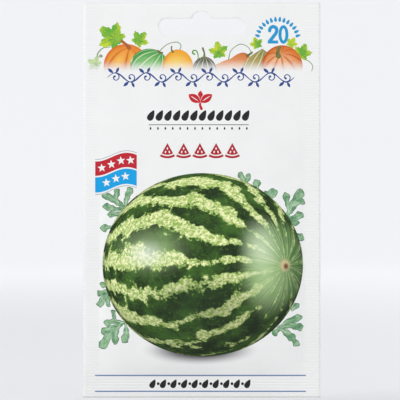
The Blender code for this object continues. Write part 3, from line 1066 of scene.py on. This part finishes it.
def lay_on_map(face, layer, mirror, printed):
    """Lays a face on the map: a printed one over nearly all of it, any other in a strip below."""
    low, high = PRINTED_PART if printed else PLAIN_PART
    for loop in face.loops:
        u = MAP_LEFT + (MAP_RIGHT - MAP_LEFT) * (mirror * loop.vert.co.x / WIDTH + 0.5)
        loop[layer].uv = (u, low + (high - low) * (loop.vert.co.z - BOTTOM) / HEIGHT)


def swell_tree():
    """The shape of a filled pouch: swells a flat web away from the middle of the packet, puckers it
    beside its seals, and bows and ripples all of the packet a little."""
    tree = bpy.data.node_groups.get("filled pouch")
    if tree:
        return tree
    real, number = "NodeSocketFloat", "NodeSocketInt"
    inputs = (
        ("Side", real, -1.0), ("Swell", real, 0.002), ("Pouch half width", real, 0.039),
        ("Pouch bottom", real, 0.0), ("Toe", real, 0.016), ("Pile top", real, 0.04),
        ("Pouch top", real, 0.1), ("Pucker", real, 0.0004), ("Bow", real, 0.0005), ("Ripple", real, 0.0002),
        ("Pattern seed", number, 7), ("Paper", "NodeSocketMaterial", None),
    )
    tree, given = new_group("filled pouch", inputs)
    place = add(tree, "GeometryNodeInputPosition")
    parts = add(tree, SEPARATE, [place], None)
    z = parts["Z"]

    # How full the pouch is: flat beyond its side seals, rounded over its toe, and thinner from the top
    # of the pile of seeds up to the header.
    aside = add(tree, MATH, [parts["X"]], operation="ABSOLUTE")
    u = add(tree, MATH, [aside, given["Pouch half width"]], operation="DIVIDE")
    near_side = add(tree, MATH, [u, 4.0], operation="POWER")
    across = add(tree, MATH, [1.0, near_side], **LESS, use_clamp=True)
    above = add(tree, MATH, [z, given["Pouch bottom"]], **LESS)
    up = add(tree, MATH, [above, given["Toe"]], operation="DIVIDE", use_clamp=True)
    short = add(tree, MATH, [1.0, up], **LESS)
    near_foot = add(tree, MATH, [short, 3.0], operation="POWER")
    toe = add(tree, MATH, [1.0, near_foot], **LESS)
    slope = add(tree, RANGE, [z, given["Pile top"], given["Pouch top"], 1.0, 0.0], **SMOOTH)
    filled = add(tree, MATH, [across, toe], **TIMES)
    filled = add(tree, MATH, [filled, slope], **TIMES)

    # Four noise patterns, stretched along each axis: the lumps and puckers differ on the two sides,
    # and the bow and the ripple are common to all the layers.
    lift = add(tree, MATH, [given["Side"], 3.0], **TIMES)
    apart = add(tree, COMBINE, [0.0, lift, 0.0])
    own = add(tree, VECTOR_MATH, [place, apart], **PLUS)
    fourth = add(tree, MATH, [given["Pattern seed"], 1.37], **TIMES)
    patterns = []
    for vector, scale, detail in (
        (own, (95, 1, 95), 1.0),
        (own, (45, 1, 165), 2.0),
        (place, (14, 0, 17), 1.0),
        (place, (30, 0, 75), 1.0),
    ):
        stretched = add(tree, VECTOR_MATH, [vector, scale], **TIMES)
        fields = {"Vector": stretched, "W": fourth, "Scale": 1.0, "Detail": detail}
        value = add(tree, NOISE, fields, noise_dimensions="4D")
        patterns.append(add(tree, MATH, [value, 0.5], **LESS))
    lumps, puckers, bows, waves = patterns

    # Seeds press faint lumps of about 10 mm into the paper. The highest reach its full swell.
    lumpy = add(tree, MATH, [lumps, 0.25, 0.925], **TIMES_PLUS)
    full = add(tree, MATH, [given["Swell"], filled], **TIMES)
    swell = add(tree, MATH, [full, lumpy], **TIMES)

    # Puckers run inward from the side seals, each about 6 mm high and 20 mm long, and are deepest
    # beside the top of the pile.
    rise = add(tree, RANGE, [z, given["Pouch bottom"], given["Pile top"]], **SMOOTH)
    fall = add(tree, RANGE, [z, given["Pouch top"], given["Pile top"]], **SMOOTH)
    pucker = add(tree, MATH, [puckers, 0.08], **PLUS)
    for share in (
        add(tree, MATH, [rise, fall, 0.2], **TIMES_PLUS),
        add(tree, MATH, [given["Pucker"], 2.5], **TIMES),
        add(tree, RANGE, [u, 0.45, 0.92], **SMOOTH),
        add(tree, RANGE, [u, 1.0, 0.95], **SMOOTH),
        add(tree, RANGE, [toe, 0.0, 0.3], **SMOOTH),
    ):
        pucker = add(tree, MATH, [pucker, share], **TIMES)

    # The packet bows and its edges ripple by a common amount, so its layers stay together. The filled
    # part is held almost still.
    most_bow = add(tree, MATH, [given["Bow"], 2.0], **TIMES)
    most_ripple = add(tree, MATH, [given["Ripple"], 4.0], **TIMES)
    edge = add(tree, RANGE, [u, 0.85, 1.1], **SMOOTH)
    ripple = add(tree, MATH, [waves, edge], **TIMES)
    ripple = add(tree, MATH, [ripple, most_ripple], **TIMES)
    common = add(tree, MATH, [bows, most_bow, ripple], **TIMES_PLUS)
    still = add(tree, MATH, [filled, -0.95, 1.0], **TIMES_PLUS)
    common = add(tree, MATH, [common, still], **TIMES)

    outward = add(tree, MATH, [swell, pucker], **PLUS)
    shift = add(tree, MATH, [given["Side"], outward, common], **TIMES_PLUS)
    offset = add(tree, COMBINE, [0.0, shift, 0.0])
    shaped_web = add(tree, "GeometryNodeSetPosition", {"Geometry": given["Geometry"], "Offset": offset})
    real_web = add(tree, "GeometryNodeRealizeInstances", [shaped_web])
    # The bare paper is the web's first material; the inks keep their own.
    bare = add(tree, MATH, [add(tree, "GeometryNodeInputMaterialIndex"), 0.0, 0.5], operation="COMPARE")
    fields = {"Geometry": real_web, "Selection": bare, "Material": given["Paper"]}
    papered = add(tree, "GeometryNodeSetMaterial", fields)
    add(tree, "NodeGroupOutput", [papered], None)
    return tree


def shaped(name, mesh, side, swell):
    """Runs the pouch shape on a flat sheet and returns it as a finished piece."""
    shape = bpy.context.scene.packet_shape
    flat = bpy.data.objects.new(name + "_flat", mesh)
    bpy.context.scene.collection.objects.link(flat)
    result = run_tree(flat, swell_tree(), {
        "Side": float(side), "Swell": swell, "Pouch half width": WIDTH / 2 - shape.side_seal,
        "Pouch bottom": BOTTOM + shape.bottom_seal, "Toe": shape.toe, "Pile top": PILE_TOP,
        "Pouch top": TOP - shape.header, "Pucker": shape.pucker if swell else 0.0, "Bow": shape.bow,
        "Ripple": shape.ripple, "Pattern seed": shape.pattern_seed, "Paper": mesh.materials[0],
    })
    bpy.data.objects.remove(flat)
    result.name = name
    piece = bpy.data.objects.new(name, result)
    bpy.context.scene.collection.objects.link(piece)
    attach(piece, "root")
    return piece


# ---------------------------------------------------------------- operators


class PACKET_OT_front_panel(bpy.types.Operator):
    """Make the printed front web"""

    bl_idname = "packet.front_panel"
    bl_label = "Front panel"

    def execute(self, context):
        window, slot = band_outlines()[1:]
        shift = context.scene.packet_shape.print_shift / MM
        plate = [(ink_name, outline + (shift, 0)) for ink_name, outline in laid(*FRONT_PRINT)]
        outer = -SEALED_INNER - PAPER_THICKNESS
        mesh = sheet_mesh("printed_front", outer, -SEALED_INNER, [slot], [window], plate, bare_paper())
        piece = shaped("printed_front", mesh, -1, SWELL)
        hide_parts("front_panel")
        return {"FINISHED"}


class PACKET_OT_back_panel(bpy.types.Operator):
    """Make the printed back web"""

    bl_idname = "packet.back_panel"
    bl_label = "Back panel"

    def execute(self, context):
        window, slot = band_outlines()[1:]
        outer = SEALED_INNER + PAPER_THICKNESS
        plate = laid(*BACK_PRINT)
        mesh = sheet_mesh("printed_back", outer, SEALED_INNER, [slot], [window], plate, bare_paper())
        piece = shaped("printed_back", mesh, 1, SWELL)
        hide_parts("back_panel")
        return {"FINISHED"}


class PACKET_OT_fused_band(bpy.types.Operator):
    """Make the fused band between the webs"""

    bl_idname = "packet.fused_band"
    bl_label = "Fused band"

    def execute(self, context):
        window, slot = band_outlines()[1:]
        mesh = sheet_mesh("fused_band", BAND_LOW.y, BAND_HIGH.y, [window, slot], [], [], sealant())
        piece = shaped("fused_band", mesh, 0, 0.0)
        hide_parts("heat_seal_band")
        return {"FINISHED"}


class PACKET_OT_seeds(bpy.types.Operator):
    """Give the seeds their coats"""

    bl_idname = "packet.seeds"
    bl_label = "Seeds"

    def execute(self, context):
        coat = seed_coat()
        for name in SEEDS:
            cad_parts[name].material_slots[0].material = coat
        return {"FINISHED"}


# ---------------------------------------------------------------- the stage

# The light from all round: its colour and its strength.
ROOM_LIGHT = ("#FDFDFF", 0.93)

# The floor lies just under the packet and turns up in a round rim. Its paint grows paler outwards, between
# two distances and two colours: painted light that makes up for the lamps' light falling off away from the
# packet, so that the ground behind the packet looks evenly pale.
FLOOR_GAP = 0.004
FLOOR_RADIUS = 1.6
RIM_RADIUS = 1.4
FLOOR_PAINTED_LIGHT_TONES = (0.3, 1.3, "#D9DADC", "#FAFBFC")

# Name, place, width and power of each lamp. The key rakes over the front from the left, and the back
# lamp over the back from the right, so that both show the paper's puckers.
LAMPS = (
    ("key", (-0.95, -0.36, 0.40), 0.30, 3.4),
    ("fill", (0.8, -0.6, 0.1), 0.7, 0.3),
    ("back", (0.85, 0.38, 0.40), 0.30, 2.7),
)

# The camera's lens and sensor in millimetres, the height that it takes in at the packet, and how far
# it stands to the packet's left.
CAMERA_LENS = 150.0
SENSOR = 36.0
FRAMED_HEIGHT = 0.1515
CAMERA_SIDESTEP = -0.00065


def floor_paint_with_painted_light_falloff():
    """Matt white paint on a seamless floor: it gives the eye a soft ground without gleams. It is painted
    darker near the packet and paler outwards, as painted light against the lamps' falloff.
    """
    material, tree = new_material("matt white floor paint")
    near, far, inner, outer = FLOOR_PAINTED_LIGHT_TONES
    place = add(tree, "ShaderNodeTexCoord", out="Object")
    away = add(tree, VECTOR_MATH, [place], "Value", operation="LENGTH")
    # Painted light: darker paint near the packet, where the lamps are strong, and paler paint outwards,
    # where their light falls off.
    tone = toned(tree, away, near, far, colour(inner), colour(outer))
    return finished(material, tree, {"Base Color": tone, "Roughness": 0.9})


class PACKET_OT_stage(bpy.types.Operator):
    """Make the floor, the lights and the camera"""

    bl_idname = "packet.stage"
    bl_label = "Stage"

    def execute(self, context):
        scene = context.scene
        scene.view_settings.view_transform = "Standard"
        world = scene.world or bpy.data.worlds.new("World")
        scene.world = world
        world.use_nodes = True
        background = world.node_tree.nodes["Background"].inputs
        background["Color"].default_value = colour(ROOM_LIGHT[0])
        background["Strength"].default_value = ROOM_LIGHT[1]

        floor_mesh = bpy.data.meshes.new("floor")
        floor = bpy.data.objects.new("floor", floor_mesh)
        scene.collection.objects.link(floor)
        bm = bmesh.new()
        ground = BOTTOM - FLOOR_GAP
        rim = arc(FLOOR_RADIUS, ground + RIM_RADIUS, RIM_RADIUS, RIM_RADIUS, -90, -15, 16)
        profile = [bm.verts.new((x, 0, z)) for x, z in [(0.0, ground), *rim]]
        edges = [bm.edges.new(pair) for pair in zip(profile, profile[1:])]
        bmesh.ops.spin(
            bm, geom=profile + edges, cent=(0, 0, 0), axis=(0, 0, 1), angle=2 * math.pi, steps=96,
            use_merge=True,
        )
        bmesh.ops.remove_doubles(bm, verts=bm.verts, dist=1e-5)
        bmesh.ops.recalc_face_normals(bm, faces=bm.faces)
        if bm.faces[0].normal.z < 0:
            bmesh.ops.reverse_faces(bm, faces=bm.faces)
        for face in bm.faces:
            face.smooth = True
        bm.to_mesh(floor_mesh)
        bm.free()
        floor_mesh.materials.append(floor_paint_with_painted_light_falloff())

        middle = Vector((0, 0, (TOP + BOTTOM) / 2))
        for name, place, size, power in LAMPS:
            data = bpy.data.lights.new(name, "AREA")
            data.shape = "DISK"
            data.size = size
            data.energy = power
            lamp = bpy.data.objects.new(name, data)
            lamp.location = place
            lamp.rotation_euler = (middle - Vector(place)).to_track_quat("-Z", "Y").to_euler()
            scene.collection.objects.link(lamp)

        data = bpy.data.cameras.new("camera")
        data.lens = CAMERA_LENS
        data.sensor_width = SENSOR
        data.clip_start = 0.01
        camera = bpy.data.objects.new("camera", data)
        distance = CAMERA_LENS / SENSOR * FRAMED_HEIGHT
        camera.location = (CAMERA_SIDESTEP, -distance - DEEPEST / 2, middle.z)
        camera.rotation_euler = (math.pi / 2, 0, 0)
        scene.collection.objects.link(camera)
        scene.camera = camera
        return {"FINISHED"}


class PACKET_PT_pieces(bpy.types.Panel):
    """Lists the packet's pieces, sizes and inks"""

    bl_idname = "PACKET_PT_pieces"
    bl_label = "Seed packet"
    bl_space_type = "VIEW_3D"
    bl_region_type = "UI"
    bl_category = "Seed packet"

    def draw(self, context):
        for operator in OPERATORS:
            self.layout.operator(operator.bl_idname)
        for group in (context.scene.packet_shape, context.scene.packet_inks):
            for name in group.__annotations__:
                self.layout.prop(group, name)


OPERATORS = (
    PACKET_OT_front_panel, PACKET_OT_back_panel, PACKET_OT_fused_band, PACKET_OT_seeds, PACKET_OT_stage,
)
CLASSES = (PacketShape, PacketInks, *OPERATORS, PACKET_PT_pieces)


def register():
    for kind in CLASSES:
        bpy.utils.register_class(kind)
    bpy.types.Scene.packet_shape = PointerProperty(type=PacketShape)
    bpy.types.Scene.packet_inks = PointerProperty(type=PacketInks)


def unregister():
    del bpy.types.Scene.packet_shape
    del bpy.types.Scene.packet_inks
    for kind in reversed(CLASSES):
        bpy.utils.unregister_class(kind)


def main():
    register()
    bpy.ops.packet.front_panel()
    bpy.ops.packet.back_panel()
    bpy.ops.packet.fused_band()
    bpy.ops.packet.seeds()
    bpy.ops.packet.stage()


if __name__ == "__main__":
    main()
